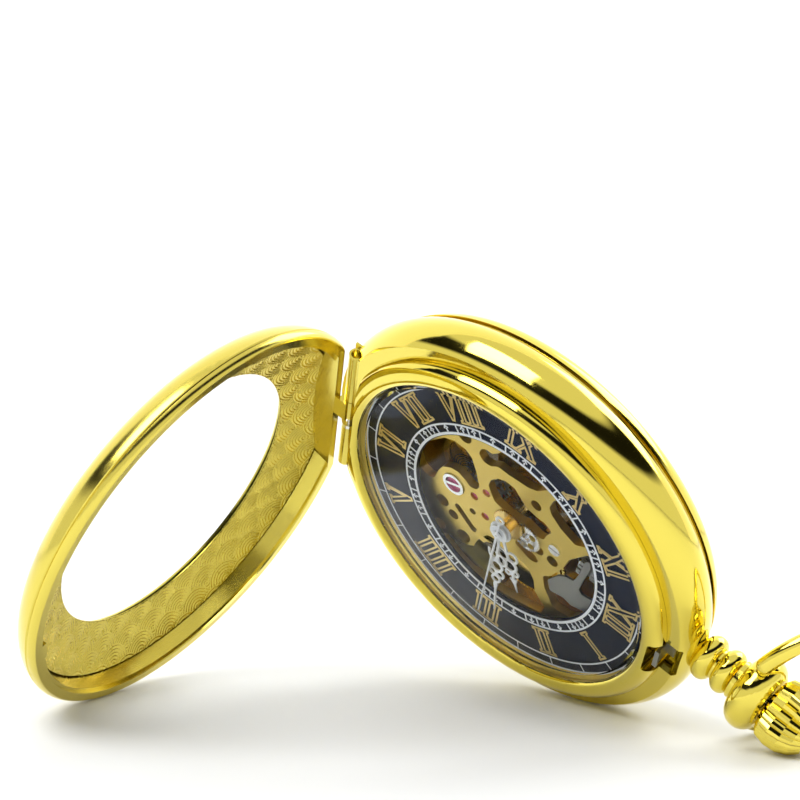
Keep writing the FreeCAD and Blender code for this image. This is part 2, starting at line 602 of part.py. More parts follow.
def build_frame():
    loops = [circle(size("plate_radius"))]
    loops += [outline(rounded(points, 0.7)) for points in PLATE_WINDOWS]
    loops += [outline(capsule((-4.3, -5.9), (-6.6, -4.2), 0.42))]
    loops += [circle(radius, (x, y)) for x, y, radius in PLATE_HOLES]
    loops += [circle(0.5, place) for place in JEWELLED]
    loops += [circle(0.4, CENTRE), circle(1.4, BALANCE)]
    loops += [circle(0.42, spot) for spot in screw_spots()]
    loops += [circle(0.42, (x, y)) for x, y, low in PLATE_SCREWS]
    body = plate("main_plate", loops, "Sizes.plate_base", "Sizes.plate_thick", CASE)
    stem_slot = outline([(11.0, -0.75), (20.0, -0.75), (20.0, 0.75), (11.0, 0.75)])
    pocket(body, [stem_slot], size("plate_base"), 0.3, True)

    cover = [(5.7, -4.4), (6.7, -2.5), (7.6, -1.7), (8.6, -1.4), (9.1, 0.6), (9.3, 2.8),
             (9.9, 3.5), (10.1, 2.4), (9.6, -0.6), (9.4, -2.1), (9.9, -2.6), (11.0, -2.3),
             (14.6, -2.2), (14.6, -6.0), (11.5, -5.2), (10.4, -5.0), (9.0, -5.6), (7.9, -5.3),
             (6.2, -5.8)]
    loops = [outline(rounded(cover, 0.3))]
    loops += [circle(0.42, (x, y)) for x, y, low in PLATE_SCREWS[1:]]
    plate("setting_cover", loops, -1.7, 0.25, CASE)

    base, thick = size("bridge_base"), size("bridge_thick")
    near, far = size("foot_inner"), size("foot_outer")
    arcs = {"barrel_bridge": (-95, -9, [(11.0, -1.2), (9.6, 2.2), (6.6, 2.6), (4.4, 1.3),
                                        (1.2, -2.6), (-1.2, -6.0)]),
            "train_bridge": (12, 125, [(-5.2, 5.6), (-4.9, 1.6), (-4.5, -2.2), (-3.7, -3.4),
                                       (-2.4, -3.3), (0.2, -1.6), (1.4, -1.3), (3.4, 1.6),
                                       (5.0, 3.6), (8.5, 3.6)]),
            "balance_cock": (152, 212, [(-10.0, -5.2), (-7.6, -2.6), (-6.1, -1.7), (-6.1, -0.2),
                                        (-8.6, 2.6)])}
    holes = {"barrel_bridge": [(0.85, BARREL), (1.05, CROWN_WHEEL)],
             "train_bridge": [(0.5, CENTRE), (0.5, THIRD), (0.5, ESCAPE)],
             "balance_cock": [(0.5, BALANCE)]}
    for label, (start, end, inner) in arcs.items():
        middle = (start + end) / 2
        path = [polar(far, start), ("arc", polar(far, middle), polar(far, end))] + inner
        loops = [outline(path)]
        loops += [circle(radius, place) for radius, place in holes[label]]
        loops += [circle(0.42, spot) for spot in screw_spots(start, end)]
        body = plate(label, loops, "Sizes.bridge_base", "Sizes.bridge_thick", CASE)
        low, top = base + thick, size("plate_base")
        foot = new_sketch(body, "XY_Plane", low)
        draw(foot, [outline([
            polar(near, start + 2), polar(far, start + 2),
            ("arc", polar(far, middle), polar(far, end - 2)), polar(near, end - 2),
            ("arc", polar(near, middle), polar(near, start + 2))])])
        draw(foot, [circle(0.42, spot) for spot in screw_spots(start, end)])
        pad = body.newObject("PartDesign::Pad", label + "_foot")
        pad.Profile = foot
        pad.Length = top - low - 0.01
    foot = (-5.9, -3.0)
    body = plate("pallet_cock", [outline(capsule(PALLET, foot, 0.75)), circle(0.5, PALLET)],
                 -4.0, 0.25, CASE)
    sketch = new_sketch(body, "XY_Plane", -3.76)
    draw(sketch, [circle(0.5, foot)])
    pad = body.newObject("PartDesign::Pad", "pallet_cock_foot")
    pad.Profile = sketch
    pad.Length = size("plate_base") - 0.01 + 3.76


def screw_spots(start=-180, end=180):
    """Bridge screw places whose bearings lie between two angles."""
    spots = []
    for angle in (-85, -52, -20, 25, 68, 112, 162, 202):
        if start < angle < end:
            spots.append(polar(17.0, angle))
    return spots


def build_jewels():
    stones = []
    for place in JEWELLED:
        low = size("plate_base")
        stones.append(rod(0.48, low + 0.1, low + 0.6, place).cut(rod(0.13, -9, 9, place)))
    for place, low in ((CENTRE, -5.6), (THIRD, -5.6), (ESCAPE, -5.6), (BALANCE, -5.6),
                       (PALLET, -3.98)):
        tall = 0.2 if place == PALLET else 0.5
        stones.append(rod(0.48, low, low + tall, place).cut(rod(0.13, -9, 9, place)))
    solid("jewels", Part.makeCompound(stones), CASE)
    ring = rod(1.35, -2.4, -1.55).cut(rod(1.0, -3, 0))
    bars = block((-1.05, -0.16, -1.75), (1.05, 0.16, -1.6))
    setting = ring.fuse(bars).removeSplitter()
    solid("balance_setting", setting, at(BALANCE, 25))
    stone = rod(0.95, -2.35, -1.85).cut(rod(0.13, -2.5, -2.05))
    solid("balance_jewel", stone, at(BALANCE))
    screws = []
    for x, y in screw_spots():
        head = rod(0.8, -6.2, -5.92, (x, y))
        head = head.cut(block((x - 0.1, y - 1, -6.3), (x + 0.1, y + 1, -6.08)))
        screws.append(head.fuse(rod(0.38, -5.95, -2.0, (x, y))).removeSplitter())
    solid("bridge_screws", Part.makeCompound(screws), CASE)
    heads = []
    for x, y, low in PLATE_SCREWS:
        head = rod(0.72, low, low + 0.25, (x, y))
        head = head.cut(block((x - 1, y - 0.1, low + 0.12), (x + 1, y + 0.1, low + 1)))
        heads.append(head.fuse(rod(0.4, -2.2, low + 0.05, (x, y))).removeSplitter())
    solid("plate_screws", Part.makeCompound(heads), CASE)


# ---- going train --------------------------------------------------------------------------
def build_wheel(label, teeth, module, base, place, mate, hub, window, arms=5):
    """A crossed-out train wheel with a tooth on the line to its mate."""
    pitch_radius = teeth * module / 2
    loops = [tooth_loop(teeth, module, 0.75, 1.0, bearing(place, mate)), circle(hub, CENTRE)]
    loops += spokes(window, pitch_radius - 4.5 * module, arms, 0.34)
    plate(label, loops, base, "Sizes.wheel_thick", at(place))


def gap_phase(place, mate, teeth):
    """Turns a pinion so that a gap meets the mate's tooth."""
    return bearing(place, mate) + 180.0 / teeth


def build_train():
    train, third, fourth = size("train_module"), size("third_module"), size("fourth_module")
    big = size("barrel_module")
    radius = 72 * big / 2
    teeth = Part.Wire([e.toShape() for e in tooth_loop(72, big, 0.75, 1.0,
                                                       bearing(BARREL, CENTRE))])
    drum = Part.Face(teeth).extrude(Vector(0, 0, 0.3))
    drum.translate(Vector(0, 0, -3.25))
    drum = drum.fuse(rod(radius - 0.4, -3.7, -3.2)).cut(rod(radius - 0.7, -3.6, -2.9))
    drum = drum.fuse(rod(radius - 0.45, -2.97, -2.8))
    drum = drum.cut(rod(0.85, -4, -2)).removeSplitter()
    solid("barrel_drum", drum, at(BARREL))
    post = rod(0.78, -6.28, -2.68).fuse(rod(1.1, -3.55, -3.02))
    solid("barrel_arbor", post.removeSplitter(), at(BARREL))
    spring = spiral(1.5, radius - 0.85, 7, 0.12, -3.5, -3.05)
    solid("mainspring", spring, at(BARREL))

    build_wheel("centre_wheel", 64, train, -4.05, CENTRE, THIRD, 0.5, 0.95)
    pinion("centre_pinion", 10, big, -3.35, -2.85,
           [(0.35, -3.4, 0.2), (0.5, -4.1, -3.3)], at(CENTRE),
           gap_phase(CENTRE, BARREL, 10), 0.17)
    build_wheel("third_wheel", 60, third, -4.45, THIRD, CENTRE, 0.3, 0.8)
    pinion("third_pinion", 8, train, -4.15, -3.75,
           [(0.3, -4.5, -3.9), (0.16, -4.95, -2.65), (0.1, -5.4, -2.2)], at(THIRD),
           gap_phase(THIRD, CENTRE, 8))
    build_wheel("fourth_wheel", 70, fourth, -4.9, CENTRE, ESCAPE, 0.28, 0.8)
    pinion("fourth_pinion", 8, third, -4.55, -4.15,
           [(0.28, -4.95, -4.4), (0.12, -4.2, 0.78), (0.1, -5.4, -4.9)], at(CENTRE),
           gap_phase(CENTRE, THIRD, 8))
    pinion("escape_pinion", 7, fourth, -4.97, -4.66,
           [(0.14, -4.97, -2.65), (0.1, -5.4, -2.2)], at(ESCAPE),
           gap_phase(ESCAPE, CENTRE, 7))

    points = []
    reach = size("escape_radius")
    for i in range(15):
        angle = 24.0 * i
        points += [polar(reach * 0.74, angle - 2.5), polar(reach, angle + 3.0),
                   polar(reach, angle + 4.6), polar(reach * 0.78, angle + 7.0),
                   polar(reach * 0.72, angle + 14.0)]
    turn = bearing(ESCAPE, PALLET) + 180.0
    plate("escape_wheel", [outline(points), circle(0.15)] + spokes(0.5, reach * 0.58, 4, 0.22),
          -3.6, "Sizes.wheel_thick", at(ESCAPE, turn))

    lever = [(0.0, -0.35), (0.5, -0.25), (1.5, -0.14), (1.85, -0.42), (2.1, -0.4),
             (1.98, -0.16), (1.8, 0.0), (1.98, 0.16), (2.1, 0.4), (1.85, 0.42), (1.5, 0.14),
             (0.5, 0.25), (0.0, 0.35)]
    anchor = [(0.15, 0.0), (0.0, 0.45), (-0.45, 1.35), (-0.75, 1.75), (-0.85, 1.62),
              (-0.62, 1.2), (-0.28, 0.3), (-0.28, -0.3), (-0.62, -1.2), (-0.85, -1.62),
              (-0.75, -1.75), (-0.45, -1.35), (0.0, -0.45)]
    aim = bearing(PALLET, BALANCE)
    arms = blade(anchor, 0.2)
    arms.rotate(Vector(0, 0, 0), Vector(0, 0, 1), bearing(PALLET, ESCAPE) + 180 - aim)
    fork = blade(lever, 0.2).fuse(arms)
    fork = fork.fuse(Part.makeCylinder(0.15, 1.05, Vector(0, 0, -0.1)))
    fork = fork.fuse(Part.makeCylinder(0.1, 1.75, Vector(0, 0, -0.37)))
    solid("pallet_fork", fork.removeSplitter(), at(PALLET, aim, -3.6))


def build_balance():
    radius, rim = size("balance_radius"), size("balance_rim")
    loops = [circle(radius), circle(0.3)]
    loops += spokes(0.75, radius - rim, 3, 0.4, 20)
    body = plate("balance_wheel", loops, -4.85, 0.25, at(BALANCE))
    studs = []
    for i in range(8):
        studs.append(circle(0.16, polar(radius - 0.3, 45.0 * i + 10)))
    pocket(body, studs, -4.6, 0.1)
    staff = rod(0.28, -4.9, -4.05).fuse(rod(0.16, -4.98, -2.55)).fuse(rod(0.1, -5.4, -2.12))
    roller = rod(0.75, -4.0, -3.82)
    pin = rod(0.09, -3.85, -3.45, (0.55, 0))
    turn = bearing(BALANCE, PALLET)
    solid("balance_staff", staff.fuse(roller).fuse(pin).removeSplitter(), at(BALANCE, turn))
    coil = spiral(0.45, 2.2, 6, 0.06, -4.19, -4.08)
    collet = rod(0.46, -4.19, -4.06).cut(rod(0.28, -5, -4))
    solid("hairspring", coil.fuse(collet).removeSplitter(), at(BALANCE))


# ---- motion works and keyless works -------------------------------------------------------
def build_motion_works():
    first, second = size("cannon_module"), size("hour_module")
    pinion("cannon_pinion", 12, first, -1.62, -1.36, [(0.45, -1.4, 0.42)], at(CENTRE),
           gap_phase(CENTRE, MINUTE, 12), 0.35)
    wheel = Part.Wire([e.toShape() for e in tooth_loop(36, first, 0.75, 1.0,
                                                       bearing(MINUTE, CENTRE))])
    disc = Part.Face(wheel).extrude(Vector(0, 0, 0.2))
    disc.translate(Vector(0, 0, -1.6))
    disc = disc.fuse(leaf(10, second, -1.42, -1.05, gap_phase(MINUTE, CENTRE, 10)))
    for i in range(4):
        opening = rod(0.42, -2, 0, polar(1.02, 90.0 * i + 45))
        disc = disc.cut(opening)
    disc = disc.cut(rod(0.3, -2, 0))
    solid("minute_wheel", disc.removeSplitter(), at(MINUTE))
    solid("minute_stud", rod(0.26, -1.72, -1.1, MINUTE), CASE)
    wheel = Part.Wire([e.toShape() for e in tooth_loop(40, second, 0.75, 1.0,
                                                       bearing(CENTRE, MINUTE))])
    disc = Part.Face(wheel).extrude(Vector(0, 0, 0.18))
    disc.translate(Vector(0, 0, -1.3))
    disc = disc.fuse(rod(0.74, -1.3, 0.1)).cut(rod(0.55, -2, 1))
    solid("hour_wheel", disc.removeSplitter(), at(CENTRE))


def build_winding():
    module = size("ratchet_module")
    lean = bearing(BARREL, CROWN_WHEEL)
    plate("ratchet_wheel", [tooth_loop(48, module, 0.7, 0.9, lean), circle(0.79)],
          -6.25, 0.25, at(BARREL))
    wheel = Part.Wire([e.toShape() for e in tooth_loop(28, module, 0.7, 0.9,
                                                       gap_phase(CROWN_WHEEL, BARREL, 28))])
    shape = Part.Face(wheel).extrude(Vector(0, 0, 0.25))
    shape.translate(Vector(0, 0, -6.25))
    shape = shape.fuse(rod(1.0, -6.1, -4.6)).fuse(rod(2.05, -4.7, -4.4))
    tooth_low, tooth_high = -4.45, -4.0
    for i in range(24):
        tooth = block((1.55, -0.08, tooth_low), (2.03, 0.08, tooth_high))
        tooth.rotate(Vector(0, 0, 0), Vector(0, 0, 1), 15.0 * i)
        shape = shape.fuse(tooth)
    solid("crown_wheel", shape.removeSplitter(), at(CROWN_WHEEL))

    spot = CASE * Placement(Vector(CROWN_WHEEL[0] + 1.8, 0, size("stem_height")),
                            Rotation(Vector(0, 1, 0), 90))
    loop = Part.Wire([e.toShape() for e in tooth_loop(16, 0.135, 0.85, 1.0, 180.0 / 16)])
    gear = Part.Face(loop).extrude(Vector(0, 0, 0.5))
    gear.translate(Vector(0, 0, -0.25))
    gear = gear.cut(rod(0.55, -1, 1))
    solid("winding_pinion", gear, spot)
    clutch = rod(1.0, 0.35, 2.1).cut(rod(1.2, 0.9, 1.35).cut(rod(0.75, 0.9, 1.35)))
    for i in range(16):
        notch = block((0.72, -0.06, 1.5), (1.2, 0.06, 2.2))
        notch.rotate(Vector(0, 0, 0), Vector(0, 0, 1), 22.5 * i)
        clutch = clutch.cut(notch)
    solid("sliding_clutch", clutch.cut(rod(0.55, -1, 3)).removeSplitter(), spot)

    pawl = blade([(0.45, -0.3), (0.45, 0.25), (0.1, 0.45), (-0.9, 0.62), (-1.3, 0.84),
                  (-1.45, 0.7), (-1.2, 0.35), (-0.5, -0.25), (0.0, -0.5)], 0.22)
    pawl = pawl.cut(Part.makeCylinder(0.26, 1))
    reach = polar(5.69, -70)
    place = (BARREL[0] + reach[0], BARREL[1] + reach[1])
    solid("click", pawl, at(place, 20, -6.22))
    solid("click_post", rod(0.22, -6.22, -5.9, place).fuse(rod(0.42, -6.32, -6.24, place))
          .fuse(rod(0.22, -6.3, -6.1, place)).removeSplitter(), CASE)


build_case()
build_pendant()
build_bow()
build_crown()
build_hinge()
build_lid()
build_latch()
build_dial()
build_hands()
build_frame()
build_jewels()
build_train()
build_balance()
build_motion_works()
build_winding()
doc.recompute()

# ---- settle the row frame's origin, check and write ---------------------------------------
bounds = FreeCAD.BoundBox()
for node in NODES:
    bounds.add(node.Shape.optimalBoundingBox(False, False))
shift = Placement(Vector(-bounds.Center.x, -bounds.Center.y, -bounds.ZMin), Rotation())
for node in NODES:
    node.Placement = shift * node.Placement
doc.recompute()

os.makedirs("parts", exist_ok=True)
for item in doc.Objects:
    if "Invalid" in item.State or "Error" in item.State:
        raise RuntimeError("failed: %s %s" % (item.Label, item.State))
for node in NODES:
    if node.Shape.isNull() or not node.Shape.isValid():
        raise RuntimeError("bad shape: " + node.Label)
    node.Shape.exportStep("parts/%s.step" % node.Label)
    print("%-18s solids %2d volume %9.3f" % (node.Label, len(node.Shape.Solids),
                                             node.Shape.Volume))
print("shift %.4f %.4f %.4f" % tuple(shift.Base))
print("size %.2f %.2f %.2f" % (bounds.XLength, bounds.YLength, bounds.ZLength))
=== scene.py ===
import json
import math

import bpy
import numpy as np
from mathutils import Euler, Matrix, Vector


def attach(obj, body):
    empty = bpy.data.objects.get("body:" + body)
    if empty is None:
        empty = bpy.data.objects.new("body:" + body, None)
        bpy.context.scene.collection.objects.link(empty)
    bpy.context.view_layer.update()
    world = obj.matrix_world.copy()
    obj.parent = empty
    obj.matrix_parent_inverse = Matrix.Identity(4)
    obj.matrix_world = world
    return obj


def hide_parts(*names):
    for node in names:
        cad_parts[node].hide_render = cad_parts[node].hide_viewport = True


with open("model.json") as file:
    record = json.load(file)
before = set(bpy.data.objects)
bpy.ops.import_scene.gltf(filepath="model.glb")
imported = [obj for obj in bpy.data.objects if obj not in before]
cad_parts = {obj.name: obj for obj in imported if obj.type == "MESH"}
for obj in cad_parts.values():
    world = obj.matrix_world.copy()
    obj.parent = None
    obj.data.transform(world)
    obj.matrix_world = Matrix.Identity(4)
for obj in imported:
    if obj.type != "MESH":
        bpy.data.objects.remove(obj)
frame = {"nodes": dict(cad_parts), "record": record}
nodes = frame["nodes"]
joints = {one["name"]: one for one in frame["record"]["behaviour"]["joints"]}
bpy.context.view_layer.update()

# ---- the watch frame: X to 12 o'clock, Y to 9 o'clock, Z out of the dial ------------------
MM = 0.001
X_AXIS = Vector(joints["crown_turn"]["axis"])
Y_AXIS = Vector(joints["lid_hinge"]["axis"])
Z_AXIS = Vector(joints["fourth_spin"]["axis"])
ORIGIN = Vector(joints["fourth_spin"]["pos_m"]) + Z_AXIS * 4.5 * MM
HINGE = Vector(joints["lid_hinge"]["pos_m"])
LID_OPEN = 90.87
WATCH = Matrix.Translation(ORIGIN) @ Matrix((X_AXIS, Y_AXIS, Z_AXIS)).transposed().to_4x4()
OPENED = (Matrix.Translation(HINGE) @ Matrix.Rotation(math.radians(-LID_OPEN), 4, Y_AXIS)
          @ Matrix.Translation(-HINGE) @ WATCH)


# ---- materials ----------------------------------------------------------------------------
def material(name, colour, metallic=0.0, roughness=0.4, **more):
    """A principled material; further sockets are given by name."""
    made = bpy.data.materials.new(name)
    made.use_nodes = True
    shader = made.node_tree.nodes["Principled BSDF"]
    shader.inputs["Base Color"].default_value = (*colour, 1.0)
    shader.inputs["Metallic"].default_value = metallic
    shader.inputs["Roughness"].default_value = roughness
    for key, value in more.items():
        shader.inputs[key.replace("_", " ")].default_value = value
    return made


def add(made, kind, **settings):
    """Adds a shader node; a setting is a property of the node or one of its sockets."""
    node = made.node_tree.nodes.new(kind)
    for key, value in settings.items():
        if hasattr(node, key):
            setattr(node, key, value)
        else:
            node.inputs[key].default_value = value
    return node


def surface(made, scale, low, high, grain=0.0, stretch=(1, 1, 1)):
    """Noise that varies the roughness and raises a fine grain."""
    tree = made.node_tree
    shader = tree.nodes["Principled BSDF"]
    place = add(made, "ShaderNodeTexCoord")
    turn = add(made, "ShaderNodeMapping")
    turn.inputs["Scale"].default_value = stretch
    noise = add(made, "ShaderNodeTexNoise", Scale=scale, Detail=5.0)
    spread = add(made, "ShaderNodeMapRange")
    spread.inputs["To Min"].default_value = low
    spread.inputs["To Max"].default_value = high
    tree.links.new(place.outputs["Object"], turn.inputs["Vector"])
    tree.links.new(turn.outputs["Vector"], noise.inputs["Vector"])
    tree.links.new(noise.outputs["Fac"], spread.inputs["Value"])
    tree.links.new(spread.outputs["Result"], shader.inputs["Roughness"])
    if grain:
        bump = add(made, "ShaderNodeBump", Strength=grain, Distance=0.00005)
        tree.links.new(noise.outputs["Fac"], bump.inputs["Height"])
        tree.links.new(bump.outputs["Normal"], shader.inputs["Normal"])
    return made


GOLD = (0.80, 0.66, 0.11)
case_gold = surface(material("case_gold", GOLD, 1.0), 500, 0.05, 0.12)
lid_gold = surface(material("lid_gold", (0.74, 0.61, 0.11), 1.0), 900, 0.12, 0.24, 0.05)
turned_gold = surface(material("engine_turned_gold", (0.70, 0.57, 0.10), 1.0), 1500, 0.20, 0.32)
plate_gold = surface(material("frosted_gilt", (0.72, 0.53, 0.12), 1.0), 9000, 0.26, 0.44, 0.25)
bridge_gold = surface(material("bridge_gilt", (0.66, 0.45, 0.12), 1.0), 700, 0.14, 0.28, 0.08,
                      (1, 14, 1))
wheel_brass = surface(material("wheel_brass", (0.88, 0.64, 0.22), 1.0), 2500, 0.14, 0.30, 0.08)
drum_brass = surface(material("drum_brass", (0.93, 0.66, 0.16), 1.0), 600, 0.06, 0.16)
steel = surface(material("grey_steel", (0.30, 0.30, 0.28), 1.0), 3500, 0.28, 0.46, 0.15)
bright_steel = surface(material("bright_steel", (0.80, 0.80, 0.80), 1.0), 2000, 0.08, 0.2)
hand_white = surface(material("hand_white", (0.86, 0.88, 0.90), 0.35), 4000, 0.25, 0.4, 0.05)
ruby = surface(material("ruby", (0.62, 0.09, 0.24), 0.0, Coat_Weight=0.6), 2000, 0.05, 0.12)
blued = surface(material("blued_spring", (0.10, 0.16, 0.38), 1.0), 3000, 0.2, 0.32)
dial_blue = surface(material("dial_blue", (0.005, 0.009, 0.026), Specular_IOR_Level=0.08),
                    2500, 0.40, 0.55, 0.06)
print_white = surface(material("print_white", (0.88, 0.91, 0.94)), 6000, 0.4, 0.55, 0.1)
print_gold = surface(material("numeral_gold", (0.80, 0.62, 0.26), 1.0), 6000, 0.28, 0.42, 0.1)
crystal = surface(material("crystal", (0.97, 0.985, 1.0), 0.0, Transmission_Weight=1.0,
                           IOR=1.12), 300, 0.0, 0.012)
back_glass = surface(material("back_glass", (0.10, 0.085, 0.06), 0.0, Transmission_Weight=1.0,
                              IOR=1.45), 300, 0.0, 0.012)

PAINT = {
    case_gold: ["case_band", "front_bezel", "back_bezel", "pendant", "bow", "crown"],
    lid_gold: ["lid_shell", "lid_window_bezel", "lid_knuckle", "case_hinge"],
    turned_gold: ["lid_ring"],
    plate_gold: ["main_plate", "movement_ring", "dial_ring"],
    bridge_gold: ["barrel_bridge", "train_bridge", "balance_cock", "pallet_cock"],
    wheel_brass: ["centre_wheel", "third_wheel", "fourth_wheel", "balance_wheel", "hour_wheel"],
    drum_brass: ["barrel_drum"],
    steel: ["setting_cover", "crown_sleeve", "lid_latch", "click", "pallet_fork",
            "escape_wheel", "winding_pinion", "sliding_clutch", "crown_wheel", "ratchet_wheel"],
    bright_steel: ["winding_stem", "hinge_pin", "minute_wheel", "centre_pinion",
                   "third_pinion", "fourth_pinion", "escape_pinion", "cannon_pinion",
                   "minute_stud", "click_post", "barrel_arbor", "balance_staff",
                   "balance_setting", "bridge_screws", "plate_screws"],
    hand_white: ["hour_hand", "minute_hand", "seconds_hand"],
    ruby: ["jewels", "balance_jewel"],
    blued: ["mainspring", "hairspring"],
    dial_blue: ["dial"],
    crystal: ["front_crystal", "lid_window"],
    back_glass: ["back_crystal"],
}
for finish, names in PAINT.items():
    for name in names:
        nodes[name].data.materials.clear()
        nodes[name].data.materials.append(finish)


# ---- mesh helpers -------------------------------------------------------------------------
def mesh_piece(name, points, faces, finish, place, body, smooth=False):
    """A mesh with points in millimetres of its own frame, riding on a body."""
    mesh = bpy.data.meshes.new(name)
    mesh.from_pydata([place @ (Vector(p) * MM) for p in points], [], faces)
    mesh.materials.append(finish)
    if smooth:
        mesh.polygons.foreach_set("use_smooth", [True] * len(mesh.polygons))
    piece = bpy.data.objects.new(name, mesh)
    bpy.context.scene.collection.objects.link(piece)
    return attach(piece, body)


def turn(point, degrees):
    """Turns a point of the dial clockwise from 12 o'clock: (right, up) to watch X and Y."""
    angle = math.radians(degrees)
    right, up = point
    return (up * math.cos(angle) - right * math.sin(angle),
            -(up * math.sin(angle) + right * math.cos(angle)))


def stroke(line, width, low, high, points, faces, closed=False):
    """Adds a raised flat line along the points to a mesh."""
    line = [Vector(p) for p in line]
    count = len(line)
    first = len(points)
    for i, here in enumerate(line):
        before = line[i - 1] if i or closed else None
        after = line[(i + 1) % count] if i < count - 1 or closed else None
        ways = []
        if before is not None:
            ways.append((here - before).normalized())
        if after is not None:
            ways.append((after - here).normalized())
        normal = Vector((0, 0))
        for way in ways:
            normal += Vector((-way.y, way.x))
        normal.normalize()
        lean = max(0.45, abs(normal.dot(Vector((-ways[0].y, ways[0].x)))))
        side = normal * (width / 2 / lean)
        for spot, height in ((here + side, low), (here + side, high), (here - side, high),
                             (here - side, low)):
            points.append((spot.x, spot.y, height))
    spans = count if closed else count - 1
    for i in range(spans):
        a = first + 4 * i
        b = first + 4 * ((i + 1) % count)
        for j in range(3):
            faces.append((a + j, b + j, b + j + 1, a + j + 1))


def arc(radius, start, end, steps):
    """Points along a circle of the dial, clockwise from 12 o'clock in degrees."""
    return [turn((0, radius), start + (end - start) * i / steps) for i in range(steps + 1)]


# ---- dial print ---------------------------------------------------------------------------
GLYPH_I = [(-.45, 0), (.45, 0), (.45, .22), (.21, .34), (.21, 3.16), (.45, 3.28), (.45, 3.5),
           (-.45, 3.5), (-.45, 3.28), (-.21, 3.16), (-.21, .34), (-.45, .22)]
GLYPH_V = [(-1.15, 3.5), (-.25, 3.5), (-.25, 3.28), (-.45, 3.2), (.14, .95), (.66, 3.2),
           (.42, 3.28), (.42, 3.5), (1.1, 3.5), (1.1, 3.28), (.92, 3.2), (.14, 0), (-.14, 0),
           (-.95, 3.2), (-1.15, 3.28)]
GLYPH_X = [(-1.2, 3.5), (-.35, 3.5), (-.35, 3.28), (-.5, 3.2), (.12, 2.15), (.64, 3.2),
           (.42, 3.28), (.42, 3.5), (1.1, 3.5), (1.1, 3.28), (.9, 3.2), (.3, 1.85), (1.0, .3),
           (1.2, .22), (1.2, 0), (.35, 0), (.35, .22), (.5, .3), (-.1, 1.35), (-.64, .3),
           (-.42, .22), (-.42, 0), (-1.15, 0), (-1.15, .22), (-.92, .3), (-.28, 1.65),
           (-1.0, 3.2), (-1.2, 3.28)]
GLYPHS = {"I": (GLYPH_I, 1.05), "V": (GLYPH_V, 2.2), "X": (GLYPH_X, 2.35)}
NUMERALS = ["XII", "I", "II", "III", "IIII", "V", "VI", "VII", "VIII", "IX", "X", "XI"]
DIAL_TOP, PRINT_TOP = -0.51, -0.455
CHAPTER_INNER, CHAPTER_OUTER = 11.85, 12.98
MINUTE_INNER, MINUTE_OUTER = 17.2, 18.35
ARROW_FOOT, ARROW_TIP = 12.05, 12.8
NUMERAL_FOOT, NUMERAL_HEIGHT_SHARE, NUMERAL_WIDEST = 13.4, 0.97, 5.4


def build_numerals():
    """Roman numerals in gold outline, standing on the chapter ring."""
    points, faces = [], []
    for hour, word in enumerate(NUMERALS):
        span = sum(GLYPHS[letter][1] for letter in word)
        squeeze = min(1.12, NUMERAL_WIDEST / span)
        pen = -span / 2
        for letter in word:
            shape, advance = GLYPHS[letter]
            line = [turn(((pen + advance / 2 + x) * squeeze,
                          NUMERAL_FOOT + y * NUMERAL_HEIGHT_SHARE), 30 * hour)
                    for x, y in shape]
            stroke(line, 0.22, DIAL_TOP, PRINT_TOP, points, faces, True)
            pen += advance
    mesh_piece("dial_numerals", points, faces, print_gold, WATCH, "case")


def arrow(degrees, foot, tip, points, faces, width=0.1):
    """A small arrow on the dial, from foot to tip along the radius."""
    way = 1 if tip > foot else -1
    stroke([turn((0, foot), degrees), turn((0, tip - 0.3 * way), degrees)], width, DIAL_TOP,
           PRINT_TOP, points, faces)
    head = [turn((0.28, tip - 0.34 * way), degrees), turn((0, tip), degrees),
            turn((-0.28, tip - 0.34 * way), degrees)]
    stroke(head, width, DIAL_TOP, PRINT_TOP, points, faces)


def build_tracks():
    """The chapter ring with its lines and arrows, and the minute ring."""
    points, faces = [], []
    for radius, width in ((CHAPTER_INNER, 0.30), (CHAPTER_OUTER, 0.20), (MINUTE_INNER, 0.17),
                          (MINUTE_OUTER, 0.17)):
        stroke(arc(radius, 0, 358, 179), width, DIAL_TOP, PRINT_TOP, points, faces, True)
    for hour in range(12):
        for lean in (-7.5, 0.0, 7.5):
            line = [turn((0, CHAPTER_INNER), 30 * hour + lean),
                    turn((0, CHAPTER_OUTER), 30 * hour + lean)]
            stroke(line, 0.16, DIAL_TOP, PRINT_TOP, points, faces)
        for lean in (-3.6, 3.6):
            arrow(30 * hour + lean, ARROW_FOOT, ARROW_TIP, points, faces, 0.15)
        arrow(30 * hour + 15, ARROW_FOOT, ARROW_TIP, points, faces, 0.17)
    for tick in range(24):
        line = [turn((0, MINUTE_INNER), 15 * tick), turn((0, MINUTE_OUTER), 15 * tick)]
        stroke(line, 0.1, DIAL_TOP, PRINT_TOP, points, faces)
    mesh_piece("dial_tracks", points, faces, print_white, WATCH, "case")


